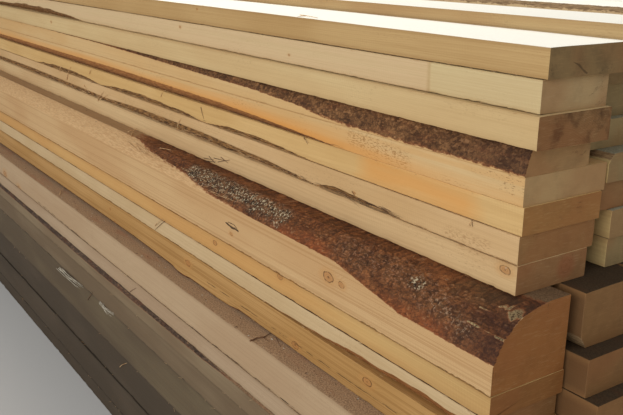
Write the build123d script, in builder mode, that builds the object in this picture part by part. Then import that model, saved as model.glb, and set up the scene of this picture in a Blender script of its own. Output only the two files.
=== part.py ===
"""Stack of rough-sawn softwood planks and beams, as sawn from round logs.

X runs along the planks and the near ends point to +X. The near long side faces -Y.
Z is up, and the origin is on the ground, under the middle of the stack's box.
All sizes are in millimetres.
"""

from build123d import *
from collections import namedtuple
from math import cos, radians, sin
import os
import random

os.makedirs("parts", exist_ok=True)

# Stock sizes
stock_length = 4000          # the length that the planks are cut to
log_radius = 110             # logs that the planks are sawn from
side_joint = 3               # least gap between two planks of a row

# Upper package, with planks of these widths, from narrowest to widest
upper_widths = (166, 200)
column_rise = (0, 25, 36, 30, 40, 24)    # how much higher each column stands than the first

# Middle package, which stands out in front of the upper one
middle_columns = 7
middle_widths = (164, 179)
middle_overhang = 85

# Lower package, which stands out further
lower_columns = 7
lower_widths = (172, 189)
lower_overhang = 134

end_scatter = (-22, 40)      # how far plank ends stand in or out of line

# One row of the stack, from the top down. near_width, near_out and near_forward belong to
# the plank on the photographed side: its width, how far its end sticks out, and how far
# its side stands forward of its package. behind_more is how much thicker the planks behind
# it are, and adds up to nothing in each package.
Row = namedtuple("Row", "name package thickness near_width near_out near_forward behind_more")
rows = (
    Row("plank_01", "upper", 48, 190, 26, 0, 0),
    Row("plank_02", "upper", 53, 155, 17, 0, 0),
    Row("plank_03", "upper", 54, 171, 25, 10, 0),
    Row("plank_04", "upper", 47, 154, 0, 3, 0),
    Row("plank_05", "upper", 48, 200, 0, 0, 0),
    Row("plank_06", "upper", 48, 190, 3, 0, 0),
    Row("plank_07", "upper", 50, 186, -1, 0, 0),
    Row("plank_08", "upper", 52, 172, 0, 0, 0),
    Row("bark_beam_09", "middle", 136, 172, 42, 0, -32),
    Row("plank_10", "middle", 43, 174, 43, 0, 28),
    Row("plank_11", "middle", 45, 170, 36, 0, 12),
    Row("plank_12", "middle", 70, 174, 46, 0, -8),
    Row("beam_13", "lower", 90, 184, 38, 0, 0),
    Row("plank_14", "lower", 50, 180, 45, 0, 0),
    Row("plank_15", "lower", 50, 176, 28, 6, 0),
    Row("plank_16", "lower", 73, 186, 40, 2, 0),
    Row("beam_17", "lower", 124, 182, 34, 0, 0),
    Row("beam_18", "lower", 115, 186, 44, -4, 0),
    Row("beam_19", "lower", 104, 180, 30, 0, 0),
    Row("plank_20", "lower", 54, 184, 36, 0, 0),
)

# Planks of the second column whose near ends show beside the first: how far each end sticks
# out, and how much more than the side joint parts it from the planks of the first column.
Second = namedtuple("Second", "out further_in")
second_planks = {
    "plank_01": Second(10, 2),
    "plank_02": Second(-45, 2),
    "plank_03": Second(-50, 4),
    "plank_04": Second(-35, 1),
    "plank_05": Second(0, 1),
    "plank_06": Second(-8, 1),
    "plank_07": Second(0, 34),
    "plank_08": Second(-5, 43),
    "bark_beam_09": Second(52, 21),
    "plank_10": Second(84, 3),
    "plank_11": Second(112, 1),
    "plank_12": Second(90, 2),
}

# Wanes: edges where the round of the log was left on the plank. Each has the face it runs
# into beside the plank's side, the slope from the square corner to the log's centre in
# degrees, and stations: distance from the near end, and how deep the log bites the corner.
Wane = namedtuple("Wane", "face lean stations")
near_wanes = {
    "plank_02": Wane("bottom", 40, ((1900, -2), (2060, 0), (2400, 6), (3000, 9), (4000, 8))),
    "plank_04": Wane("top", 25, ((0, 11.8), (453, 11.7), (556, 11.2), (632, 10), (844, 7.8),
                                 (1101, 6.7), (1415, 4.8), (1812, 2.5), (2400, 1.5),
                                 (3000, -2))),
    "plank_05": Wane("bottom", 25, ((300, -2), (420, 0), (700, 4), (1000, 7), (1700, 8.5),
                                    (2800, 8), (4000, 6))),
    "plank_06": Wane("bottom", 36, ((560, -3), (620, 0.5), (800, 5), (980, 3.5), (1080, -1),
                                    (1200, 3), (1450, 6), (1700, 4), (1830, -1), (1960, 3),
                                    (2200, 6), (2450, 3), (2560, -3))),
    "plank_07": Wane("bottom", 27, ((480, -2), (590, 2), (760, 6), (1100, 8.6), (1500, 8.6),
                                    (1800, 6), (1950, 6.5), (2600, 8), (4000, 6))),
    "bark_beam_09": Wane("top", 46, ((0, 44), (230, 43), (330, 36), (430, 27), (700, 26),
                                     (4000, 25))),
    "plank_11": Wane("bottom", 38, ((0, 3), (150, 4), (420, 4.5), (600, -2), (900, -2))),
    "plank_12": Wane("bottom", 42, ((250, -3), (420, 2), (700, 4), (812, 5.5), (850, 2.5),
                                    (1300, 6), (2200, 7), (4000, 5))),
    "plank_15": Wane("top", 34, ((600, -2), (900, 5), (1700, 9), (3000, 6), (4000, 4))),
}
# Hidden and far planks: this share of them has a wane on each side, up to this deep
far_wane_share = 0.25
far_wane_bite = 13
far_wane_lean = (30, 55)

# One plank, by the corner of its box that is lowest, nearest and at its near end
Plank = namedtuple("Plank", "near_x side_y low_z length width thickness")


def scatter(row, column, use, low, high):
    """An uneven value that always comes out the same for one plank."""
    return random.Random(f"{row} {column} {use}").uniform(low, high)


def package_of(row):
    """How many columns the row's package has, its planks' widths and its overhang."""
    return {
        "upper": (len(column_rise), upper_widths, 0),
        "middle": (middle_columns, middle_widths, middle_overhang),
        "lower": (lower_columns, lower_widths, lower_overhang),
    }[row.package]


def near_plank_at(row_number):
    """Place and size of the row's plank on the near side, before the stack is centred."""
    row = rows[row_number]
    overhang = package_of(row)[2]
    low_z = sum(below.thickness for below in rows[row_number + 1:])
    return Plank(row.near_out, -overhang - row.near_forward, low_z,
                 stock_length, row.near_width, row.thickness)


near_planks = [near_plank_at(number) for number in range(len(rows))]


def reach_beside(low_z, high_z):
    """How far across the near planks reach that stand beside this height."""
    beside = [
        near for near in near_planks if near.low_z < high_z and near.low_z + near.thickness > low_z
    ]
    return max(near.side_y + near.width for near in beside)


def plank_behind_at(row_number, column):
    """Place and size of a plank behind the near one, before the stack is centred."""
    row = rows[row_number]
    _, (narrowest, widest), overhang = package_of(row)
    package = [each for each in rows if each.package == row.package]
    rows_below = rows[row_number + 1:]
    below_here = [below for below in rows_below if below in package]
    growth = column_rise[column] / len(package) if row.package == "upper" else 0
    thickness = row.thickness + row.behind_more + growth
    low_z = sum(below.thickness for below in rows_below)
    low_z += sum(below.behind_more + growth for below in below_here)
    near_column = max(each.near_width - each.near_forward for each in package)
    pitch = widest + side_joint
    start = -overhang + near_column + side_joint + (column - 1) * pitch
    width = scatter(row.name, column, "width", narrowest, widest)
    side_y = start + scatter(row.name, column, "side", 0, widest - width)
    near_x = scatter(row.name, column, "end", *end_scatter)
    if column == 1 and row.name in second_planks:
        near_x, further_in = second_planks[row.name]
        side_y = reach_beside(low_z, low_z + thickness) + side_joint + further_in
        width = min(width, start + widest - side_y)
    return Plank(near_x, side_y, low_z, stock_length, width, thickness)


layout = [
    [near, *(plank_behind_at(number, column) for column in range(1, package_of(row)[0]))]
    for number, (row, near) in enumerate(zip(rows, near_planks))
]
every_plank = [plank for row in layout for plank in row]

# The stack's box, whose middle is the origin
high_x = max(plank.near_x for plank in every_plank)
low_x = min(plank.near_x - plank.length for plank in every_plank)
low_y = min(plank.side_y for plank in every_plank)
high_y = max(plank.side_y + plank.width for plank in every_plank)
middle_x = (low_x + high_x) / 2
middle_y = (low_y + high_y) / 2

near_corner = (Align.MAX, Align.MIN, Align.MIN)


def corner_of(plank, inward=0):
    """Where a plank's corner stands in the centred stack, or a point that far across it."""
    return (plank.near_x - middle_x, plank.side_y - middle_y + inward, plank.low_z)


def log_along(plank, wane, side):
    """The round log that a waney plank was sawn from, in the place where it cut the plank."""
    past_the_end = 20
    first, last = wane.stations[0], wane.stations[-1]
    stations = [(-past_the_end, first[1]), *wane.stations]
    stations += [(max(plank.length, last[0]) + past_the_end, last[1])]
    across, up = cos(radians(wane.lean)), sin(radians(wane.lean))
    near_x, side_y, low_z = corner_of(plank, plank.width if side == "far" else 0)
    corner_z = low_z + plank.thickness if wane.face == "top" else low_z
    inward = -1 if side == "far" else 1
    downward = -1 if wane.face == "top" else 1
    with BuildPart() as log:
        for distance, bite in stations:
            reach = log_radius + bite
            centre = (side_y + inward * reach * across, corner_z + downward * reach * up)
            with BuildSketch(Plane.YZ.offset(near_x - distance)):
                with Locations(centre):
                    Circle(log_radius)
        loft(ruled=True)
    return log.part


def edge_of(plank, width, side, wane):
    """The edge of a plank, that wide, rounded where the log's surface runs through it."""
    inward = plank.width - width if side == "far" else 0
    with BuildPart() as edge:
        with Locations(corner_of(plank, inward)):
            Box(plank.length, width, plank.thickness, align=near_corner)
        if wane:
            add(log_along(plank, wane, side), mode=Mode.INTERSECT)
    return edge.part


def sawn_plank(plank, near_wane=None, far_wane=None):
    """One plank. Where it has no wane, it is sawn square."""
    if not near_wane and not far_wane:
        near_width = plank.width
    elif far_wane:
        near_width = plank.width / 2
    else:
        near_width = min(0.95 * log_radius, plank.width)
    with BuildPart() as piece:
        add(edge_of(plank, near_width, "near", near_wane))
        if near_width < plank.width:
            add(edge_of(plank, plank.width - near_width, "far", far_wane))
    return piece.part


def far_wane_of(row, column, side, plank):
    """A wane for a plank that the photo doesn't show, or none."""
    if scatter(row.name, column, side, 0, 1) > far_wane_share:
        return None
    face = "top" if scatter(row.name, column, side + " face", 0, 1) > 0.5 else "bottom"
    lean = scatter(row.name, column, side + " lean", *far_wane_lean)
    near_bite = scatter(row.name, column, side + " near bite", 0.2, 1) * far_wane_bite
    far_bite = scatter(row.name, column, side + " far bite", -0.5, 1) * far_wane_bite
    return Wane(face, lean, ((0, near_bite), (plank.length, far_bite)))


def write(part, name):
    part.label = name
    export_step(part, f"parts/{name}.step")


# The plank of each row that shows on the near side is a piece of its own, and the rest
# of the row, behind it, is kept together.
for row, planks in zip(rows, layout):
    write(sawn_plank(planks[0], near_wanes.get(row.name)), row.name)
    with BuildPart() as row_behind:
        for column, plank in enumerate(planks[1:], start=1):
            near_wane, far_wane = [
                far_wane_of(row, column, side, plank) for side in ("near", "far")
            ]
            add(sawn_plank(plank, near_wane, far_wane))
    write(row_behind.part, f"{row.name}_row_behind")
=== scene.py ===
"""Looks of the lumber stack: each plank with its sawn faces, arrises, wanes, bark and splinters.

Everything is in metres in the stack's own frame: X along the planks with the near ends at
+X, the photographed side facing -Y, and Z up from the ground.
"""

import math
import random
from functools import partial
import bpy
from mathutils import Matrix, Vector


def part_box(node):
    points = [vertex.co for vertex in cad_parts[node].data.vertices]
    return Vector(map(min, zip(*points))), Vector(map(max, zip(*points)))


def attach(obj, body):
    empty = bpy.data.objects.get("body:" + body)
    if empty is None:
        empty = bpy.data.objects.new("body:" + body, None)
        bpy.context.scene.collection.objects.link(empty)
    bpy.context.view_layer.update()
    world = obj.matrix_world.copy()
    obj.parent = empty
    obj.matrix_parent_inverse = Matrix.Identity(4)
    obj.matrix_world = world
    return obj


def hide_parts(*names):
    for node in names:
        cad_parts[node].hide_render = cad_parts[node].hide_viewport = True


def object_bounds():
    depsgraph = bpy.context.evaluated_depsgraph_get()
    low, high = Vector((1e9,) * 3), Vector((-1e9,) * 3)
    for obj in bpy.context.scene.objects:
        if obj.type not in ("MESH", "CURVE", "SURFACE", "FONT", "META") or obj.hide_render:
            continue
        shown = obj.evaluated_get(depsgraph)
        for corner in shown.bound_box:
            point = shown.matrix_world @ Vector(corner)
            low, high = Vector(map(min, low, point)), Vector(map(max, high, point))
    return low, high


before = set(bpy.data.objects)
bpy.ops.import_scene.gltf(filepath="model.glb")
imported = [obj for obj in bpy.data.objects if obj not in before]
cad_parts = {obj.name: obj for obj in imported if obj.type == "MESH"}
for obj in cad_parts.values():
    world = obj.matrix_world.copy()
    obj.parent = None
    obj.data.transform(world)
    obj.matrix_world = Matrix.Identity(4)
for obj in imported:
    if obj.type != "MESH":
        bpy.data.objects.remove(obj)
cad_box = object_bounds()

from types import SimpleNamespace

import bpy
import numpy as np
from mathutils import Matrix, Vector
from mathutils.bvhtree import BVHTree

MM = 0.001
NEAR_ROWS = sorted(
    (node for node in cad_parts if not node.endswith("_row_behind")),
    key=lambda node: -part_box(node)[0].z,
)


# Camera, matched to the photograph
PHOTO_WIDTH, PHOTO_HEIGHT = 623, 415
FOCAL_PIXELS = 833.6
SENSOR_WIDTH = 36.0
CAMERA_YAW = math.radians(34.28)       # from straight along the planks towards the side
CAMERA_PITCH = math.radians(-16.96)
CAMERA_ROLL = math.radians(0.59)
CAMERA_BEYOND_END = 0.843              # past the end of plank_08
CAMERA_BEFORE_SIDE = 0.973             # in front of the side of plank_08
CAMERA_ABOVE_TOP = 0.1267              # above plank_01

reference_low, reference_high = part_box("plank_08")
camera_place = Vector((
    reference_high.x + CAMERA_BEYOND_END,
    reference_low.y - CAMERA_BEFORE_SIDE,
    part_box("plank_01")[1].z + CAMERA_ABOVE_TOP,
))


def camera_axes():
    """The camera's right, up and forward directions."""
    level = Vector((-math.cos(CAMERA_YAW), math.sin(CAMERA_YAW), 0))
    right = Vector((math.sin(CAMERA_YAW), math.cos(CAMERA_YAW), 0))
    forward = level * math.cos(CAMERA_PITCH) + Vector((0, 0, math.sin(CAMERA_PITCH)))
    up = right.cross(forward)
    tilted_right = right * math.cos(CAMERA_ROLL) + up * math.sin(CAMERA_ROLL)
    tilted_up = up * math.cos(CAMERA_ROLL) - right * math.sin(CAMERA_ROLL)
    return tilted_right, tilted_up, forward


def add_camera():
    camera = bpy.data.objects.new("camera", bpy.data.cameras.new("camera"))
    bpy.context.scene.collection.objects.link(camera)
    right, up, forward = camera_axes()
    turn = Matrix((right, up, -forward)).transposed().to_4x4()
    camera.matrix_world = Matrix.Translation(camera_place) @ turn
    camera.data.sensor_width = SENSOR_WIDTH
    camera.data.lens = FOCAL_PIXELS * SENSOR_WIDTH / PHOTO_WIDTH
    camera.data.clip_start = 0.02
    camera.data.clip_end = 100
    bpy.context.scene.camera = camera


def photo_ray(pixel):
    """The direction from the camera through a pixel of the photograph."""
    right, up, forward = camera_axes()
    return (
        forward * FOCAL_PIXELS
        + right * (pixel[0] - PHOTO_WIDTH / 2)
        + up * (PHOTO_HEIGHT / 2 - pixel[1])
    )


def on_plane(pixel, axis, level):
    """Where a pixel of the photograph falls on the plane at that level of an axis."""
    ray = photo_ray(pixel)
    return camera_place + ray * ((level - camera_place[axis]) / ray[axis])


def on_side_of(node, pixel):
    """Where a pixel of the photograph falls on the side plane of a near plank."""
    return on_plane(pixel, 1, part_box(node)[0].y)


def on_end_of(node, pixel):
    """Where a pixel of the photograph falls on the near end of a plank."""
    return on_plane(pixel, 0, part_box(node)[1].x)


def just_above(node, pixel):
    """Where a pixel of the photograph falls on the level just above a plank's top."""
    return on_plane(pixel, 2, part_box(node)[1].z + 1.5 * MM)


SURFACES = {}


def surface_of(node):
    """A CAD node's surface, ready for rays."""
    if node not in SURFACES:
        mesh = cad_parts[node].data
        corners = [vertex.co for vertex in mesh.vertices]
        SURFACES[node] = BVHTree.FromPolygons(corners, [face.vertices for face in mesh.polygons])
    return SURFACES[node]


def on_surface_of(node, pixel):
    """Where a pixel of the photograph falls on a plank, wane included."""
    hit = surface_of(node).ray_cast(camera_place, photo_ray(pixel).normalized())[0]
    return hit if hit is not None else on_side_of(node, pixel)


def on_face_of(node, x, z):
    """The point of a plank's -Y side at that place along it and that height."""
    outside = Vector((x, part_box(node)[0].y - 0.1, z))
    hit = surface_of(node).ray_cast(outside, Vector((0, 1, 0)))[0]
    return hit if hit is not None else Vector((x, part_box(node)[0].y, z))


# Noise for meshes, worked out for many points at once
def hashed(whole, seed):
    """A fixed value from 0 to 1 for each row of whole numbers."""
    mixed = np.full(len(whole), seed * 40503 + 977, np.int64)
    for axis, prime in enumerate((73856093, 19349663, 83492791)):
        mixed = (mixed ^ (whole[:, axis] * prime)) * 1274126177 % 2147483647
        mixed = mixed ^ (mixed >> 13)
    return (mixed % 1048576) / 1048576


def soft_noise(points, size, seed):
    """Smooth noise from -1 to 1 with features about as large as size."""
    scaled = points / np.asarray(size, float)
    base = np.floor(scaled).astype(np.int64)
    part = scaled - base
    part = part * part * (3 - 2 * part)
    total = np.zeros(len(points))
    for corner in range(8):
        step = np.array([corner & 1, corner >> 1 & 1, corner >> 2 & 1])
        weight = np.prod(np.where(step, part, 1 - part), axis=1)
        total += weight * hashed(base + step, seed)
    return total * 2 - 1


def scales(points, size, seed):
    """Irregular scales: how far inside its scale a point lies, and the scale's own value."""
    scaled = points / np.asarray(size, float)
    base = np.floor(scaled).astype(np.int64)
    nearest = np.full(len(points), 9.0)
    second = np.full(len(points), 9.0)
    value = np.zeros(len(points))
    for step in np.ndindex(3, 3, 3):
        cell = base + np.array(step) - 1
        centre = cell + np.stack([hashed(cell, seed + k) for k in (1, 2, 3)], axis=1)
        distance = np.linalg.norm(scaled - centre, axis=1)
        closer = distance < nearest
        second = np.where(closer, nearest, np.minimum(second, distance))
        value = np.where(closer, hashed(cell, seed + 4), value)
        nearest = np.where(closer, distance, nearest)
    return np.clip((second - nearest) / 0.4, 0, 1), value


def closeness(points, path, reach):
    """From 1 on a path of points down to 0 at that reach from it."""
    nearest = np.full(len(points), np.inf)
    for start, end in zip(path[:-1], path[1:]):
        start, along = np.array(start), np.array(end) - np.array(start)
        share = np.clip((points - start) @ along / max(along @ along, 1e-12), 0, 1)
        apart = points - start - share[:, None] * along
        nearest = np.minimum(nearest, np.linalg.norm(apart, axis=1))
    return np.clip(1 - nearest / reach, 0, 1)


# Shader nodes
def srgb(red, green, blue):
    """A colour as seen on screen, from 0 to 255, as Blender's linear colour."""
    def linear(level):
        share = level / 255
        return share / 12.92 if share <= 0.04045 else ((share + 0.055) / 1.055) ** 2.4
    return (linear(red), linear(green), linear(blue), 1.0)


class Field:
    """A shader node's output, which is added, multiplied and divided like a number."""

    def __init__(self, tree, socket):
        self.tree, self.socket = tree, socket

    def __add__(self, other):
        return math_of("ADD", self, other)

    def __sub__(self, other):
        return math_of("SUBTRACT", self, other)

    def __rsub__(self, other):
        return math_of("SUBTRACT", other, self)

    def __mul__(self, other):
        return math_of("MULTIPLY", self, other)

    def __truediv__(self, other):
        return math_of("DIVIDE", self, other)

    __radd__ = __add__


def add_node(kind, values=(), tree=None, **settings):
    """Add a node, its inputs linked or set, and return its outputs by name and by number."""
    values = dict(values)
    tree = tree or next(value.tree for value in values.values() if isinstance(value, Field))
    node = tree.nodes.new(kind)
    for name, value in settings.items():
        setattr(node, name, value)
    for name, value in values.items():
        if isinstance(value, Field):
            tree.links.new(value.socket, node.inputs[name])
        else:
            node.inputs[name].default_value = value
    fields = [Field(tree, socket) for socket in node.outputs]
    by_name = {field.socket.name: field for field in reversed(fields)}
    return {**by_name, **dict(enumerate(fields))}


def math_of(operation, *values, clamp=False):
    """Blender's math, by the name of its operation."""
    return add_node("ShaderNodeMath", enumerate(values), operation=operation, use_clamp=clamp)[0]


def vector_of(operation, first, second=(0, 0, 0)):
    """Blender's vector math. A length or a dot product comes back as a number."""
    outputs = add_node("ShaderNodeVectorMath", {0: first, 1: second}, operation=operation)
    return outputs["Value" if operation in ("LENGTH", "DOT_PRODUCT") else "Vector"]


def parts_of(vector):
    """A vector's X, Y and Z."""
    return add_node("ShaderNodeSeparateXYZ", {0: vector})


def combined(x=0.0, y=0.0, z=0.0):
    """A vector from its X, Y and Z."""
    return add_node("ShaderNodeCombineXYZ", {"X": x, "Y": y, "Z": z})[0]


def stretched(place, along, across):
    """A place scaled along and across the plank, for noise that follows the grain."""
    return vector_of("MULTIPLY", place, (along, across, across))


def noise(place, scale=1.0, detail=2.0, roughness=0.5):
    values = {"Vector": place, "Scale": scale, "Detail": detail, "Roughness": roughness}
    return add_node("ShaderNodeTexNoise", values)["Fac"]


def ramp(value, low, high, to_low=0.0, to_high=1.0):
    """A smooth step between two levels."""
    values = {"Value": value, "From Min": low, "From Max": high,
              "To Min": to_low, "To Max": to_high}
    return add_node("ShaderNodeMapRange", values, interpolation_type="SMOOTHSTEP")["Result"]


def drop(value, low, high):
    """A smooth step down, from 1 at the low level to 0 at the high one."""
    return ramp(value, low, high, 1.0, 0.0)


def mix(factor, first, second):
    """One colour turning into another."""
    return add_node("ShaderNodeMix", {0: factor, 6: first, 7: second}, data_type="RGBA")[2]


def over(body, *layers):
    """A colour under layers laid on in turn: each a colour, where it shows and how strongly."""
    for colour, mask, strength in layers:
        if strength and isinstance(mask, Field):
            body = mix(mask if strength == 1 else mask * strength, body, colour)
    return body


SOCKETS = {"f": "NodeSocketFloat", "v": "NodeSocketVector", "c": "NodeSocketColor"}


def group(**inputs):
    """Turn a function into a node group with those inputs, and what it returns as outputs."""
    def build(function):
        tree = bpy.data.node_groups.new(function.__name__, "ShaderNodeTree")
        for name, kind in inputs.items():
            tree.interface.new_socket(name=name, in_out="INPUT", socket_type=SOCKETS[kind])
        given = add_node("NodeGroupInput", tree=tree)
        results = function(**{name: given[name] for name in inputs})
        for name, field in results.items():
            kind = "c" if field.socket.type == "RGBA" else "f"
            tree.interface.new_socket(name=name, in_out="OUTPUT", socket_type=SOCKETS[kind])
        add_node("NodeGroupOutput", results)
        return lambda **values: add_node("ShaderNodeGroup", values, node_tree=tree)
    return build


@group(place="v", ring_width="f", waviness="f", swirl="f")
def growth_rings(place, ring_width, waviness, swirl):
    """The dark late wood of the yearly rings round the log's pith."""
    radius = vector_of("LENGTH", vector_of("MULTIPLY", place, (0, 1, 1)))
    bent = radius + (noise(stretched(place, 0.9, 7), detail=3) - 0.5) * waviness + swirl
    uneven = add_node("ShaderNodeTexNoise", {"W": bent, "Scale": 70.0, "Detail": 1.0},
                      noise_dimensions="1D")["Fac"]
    year = math_of("FRACT", (uneven * ring_width * 1.6 + bent) / ring_width)
    return {"latewood": ramp(year, 0.35, 0.9) * drop(year, 0.93, 1.0)}


# Streaks along the grain: their scale along and across it, detail and roughness
STREAKS = {"fine": (14, 900, 2, 0.7), "lines": (0.7, 230, 1, 0.5), "broad": (1.1, 55, 3, 0.6),
           "mottle": (7, 30, 4, 0.6), "cloud": (2.2, 8, 2, 0.5)}


@group(place="v")
def fibres(place):
    """Streaks along the grain: fine ones for fibres and broad ones for colour."""
    return {
        name: noise(stretched(place, along, across), detail=detail, roughness=roughness)
        for name, (along, across, detail, roughness) in STREAKS.items()
    }


@group(place="v", spacing="f")
def saw_marks(place, spacing):
    """Ridges that the saw left across a face, a little slanted and uneven, and torn fuzz."""
    torn = noise(stretched(place, 120, 460), roughness=0.6)
    patch = noise(stretched(place, 6, 22))
    slanted = vector_of("DOT_PRODUCT", place, (1, 0.12, 0.2))
    along = noise(stretched(place, 5, 9), detail=1) * 0.02 + slanted
    wave = math_of("SINE", along / spacing * math.tau)
    return {
        "dashes": ramp(torn, 0.58, 0.68) * ramp(patch, 0.5, 0.62),
        "torn": ramp(torn, 0.5, 0.6),
        "ridges": wave * ramp(noise(stretched(place, 4, 16)), 0.45, 0.7),
        "fuzz": noise(stretched(place, 130, 800), detail=3, roughness=0.75),
    }


@group(position="v", centre="v", radius="f")
def knot(position, centre, radius):
    """One knot, longer along the grain: its core, broken dark rim, and pull on the grain."""
    apart = vector_of("SUBTRACT", position, centre)
    distance = vector_of("LENGTH", vector_of("MULTIPLY", apart, (0.6, 1, 1)))
    jitter = noise(stretched(position, 110, 110), detail=1) * 0.5 - 0.25
    reach = distance / radius + jitter
    inner_rings = math_of("SINE", reach * 17.0) * 0.2 + 0.6
    rim = ramp(reach, 0.8, 0.97) * drop(reach, 0.99, 1.16)
    broken = ramp(noise(position, scale=130, detail=1), 0.3, 0.55, 0.25, 1.0)
    return {
        "core": drop(reach, 0.75, 1.05) * inner_rings,
        "rim": math_of("MAXIMUM", rim * broken, ramp(reach, 0.05, 0.3, 0.7, 0.0)),
        "halo": drop(reach, 1.0, 2.6),
        "swirl": drop(reach, 0.6, 4.0) * radius * 1.1,
    }


@group(position="v", start="v", end="v", width="f")
def crack(position, start, end, width):
    """A drying crack between two places: how open it is here, its width uneven along it."""
    drift = noise(stretched(position, 28, 28), detail=3) * 0.006 - 0.003
    shifted = vector_of("ADD", position, combined(y=drift, z=drift))
    along = vector_of("SUBTRACT", end, start)
    from_start = vector_of("SUBTRACT", shifted, start)
    share = math_of("DIVIDE", vector_of("DOT_PRODUCT", from_start, along),
                    vector_of("DOT_PRODUCT", along, along), clamp=True)
    on_line = add_node("ShaderNodeVectorMath", {0: along, "Scale": share}, operation="SCALE")[0]
    distance = vector_of("LENGTH", vector_of("SUBTRACT", from_start, on_line))
    uneven = noise(stretched(position, 35, 35), detail=3)
    own_width = width * ramp(uneven, 0.3, 0.65, 0.25, 1.5)
    return {"open": drop(distance / own_width, 0.4, 1.0)}


@group(place="v", normal="v")
def end_grain(place, normal):
    """Where a face is a sawn end, its drying checks that run out from the pith, and scratches."""
    end = ramp(math_of("ABSOLUTE", parts_of(normal)["X"]), 0.75, 0.85)
    from_pith = parts_of(place)
    y, z = from_pith["Y"], from_pith["Z"]
    spread = combined(math_of("ARCTAN2", z, y) * 6.0, y * 9.0, z * 9.0)
    line = math_of("ABSOLUTE", noise(spread, scale=1.3, detail=4, roughness=0.55) - 0.5)
    some = ramp(noise(place, scale=14, detail=1), 0.58, 0.64)
    wide = vector_of("MULTIPLY", place, (1, 40, 420))
    return {
        "end": end,
        "checks": drop(line, 0.0, 0.004) * some * end,
        "scratches": noise(wide, detail=3, roughness=0.7),
    }


@group(position="v", relief="f", flecks="f", olive="f", red="f", dark="c", light="c")
def bark_coat(position, relief, flecks, olive, red, dark, light):
    """Flaky bark: brown with paler scales, dark crevices, red stretches and grey flecks."""
    grime = noise(position, scale=38, detail=5, roughness=0.7)
    streak = noise(stretched(position, 12, 60), detail=3)
    bend = noise(position, scale=120) * 0.012 - 0.006
    bent = vector_of("ADD", position, combined(bend, bend, bend))
    flaky = {"Vector": stretched(bent, 150, 230), "Scale": 1.0}
    flake = add_node("ShaderNodeSeparateColor", {0: add_node("ShaderNodeTexVoronoi", flaky)["Color"]})
    edge = add_node("ShaderNodeTexVoronoi", flaky, feature="DISTANCE_TO_EDGE")["Distance"]
    rim = drop(edge, 0.02, 0.12)
    spots = noise(position, scale=190, roughness=0.65)
    holes = noise(position, scale=150, detail=1)
    mossy = mix(ramp(grime, 0.4, 0.6), srgb(72, 58, 40), srgb(108, 90, 64))
    fleck = mix(ramp(flecks, 0.3, 0.9), srgb(176, 128, 98), srgb(196, 180, 148))
    body = over(
        mix(ramp(flake[0] * 0.24 + grime * 0.8, 0.34, 0.72), dark, light),
        (srgb(128, 74, 44), ramp(streak, 0.5, 0.72), 0.35),
        (srgb(156, 84, 44), red * ramp(streak, 0.3, 0.7, 0.45, 0.9), 1),
        (srgb(96, 80, 52), olive, 0.5),
        (srgb(48, 28, 16), rim, 0.35),
        (srgb(186, 140, 98), ramp(relief, 0.55, 0.9), 0.4),
        (srgb(44, 25, 14), drop(relief, 0.1, 0.4), 0.42),
        (mossy, flecks, 0.45),
        (srgb(30, 22, 15), ramp(holes, 0.54, 0.6) * flecks, 0.8),
        (fleck, ramp(spots, 0.54, 0.63) * flecks, 1),
    )
    fine = noise(stretched(position, 260, 420), detail=4, roughness=0.7)
    return {"color": body, "height": fine - rim * 0.5}


@group(position="v", amount="f")
def weathering_and_shade(position, amount):
    """Grey-brown patches drifting along the wood, more of them where the amount is higher: grime and
    wet, and painted shade on the lower rows.
    """
    drift = noise(stretched(position, 1.6, 9), detail=5, roughness=0.62)
    low = 0.74 - amount * 0.6
    return {"mask": ramp(drift, low, low + 0.34) * amount}


# Materials
# Grey-brown of grime and wet, which also stands for painted shade on the lower rows
DAMP_DIRT_AND_SHADE = srgb(74, 60, 45)
CRACK = srgb(48, 31, 20)
KNOT_WOOD, KNOT_RIM = srgb(166, 112, 64), srgb(60, 36, 22)
ORANGE_INNER_BARK = srgb(214, 148, 74)
BARE_WANE = srgb(92, 62, 36), srgb(152, 112, 70)
BARE_PATCH = srgb(186, 164, 120)
BROWN_BARK = srgb(88, 50, 26), srgb(150, 93, 52)
GREY_DUST = srgb(128, 102, 78), srgb(186, 154, 120), srgb(158, 106, 76)
PAINTED = ("tone", "warmth", "arris", "wane", "bark", "relief", "orange", "bare", "flecks", "red",
           "dirt", "torn", "shade")
SAW_SPACING = 6.5 * MM
PLAIN_LOOK = dict(
    end_dark=None, ring_width=3.2 * MM, rings=0.12, lines=0.12, orange=0.0, glow=0.0, damp=0.0,
    bleached=0.0, dusty=0.0, dust=GREY_DUST, knots=(), cracks=(), crack_strength=0.9, step=None,
    spread=0.06, stains=0.25, wane_wood=BARE_WANE, bark_colours=BROWN_BARK, dashes=0.2,
    inner_side=0.0,
)


def look_of(pale, warm, late, end, **own):
    """A wood's look: its colours on screen, and what sets it apart from the plain look."""
    colours = dict(pale=srgb(*pale), warm=srgb(*warm), late=srgb(*late), end=srgb(*end))
    return dict(PLAIN_LOOK, **colours, **own)


def new_material(name):
    """A material without nodes as yet."""
    material = bpy.data.materials.new(name)
    material.use_nodes = True
    material.node_tree.nodes.clear()
    return material


def give_surface(tree, values):
    """End a material with its shader, whose sockets have these values."""
    shader = add_node("ShaderNodeBsdfPrincipled", values, tree=tree)
    add_node("ShaderNodeOutputMaterial", {"Surface": shader[0]})


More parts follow.
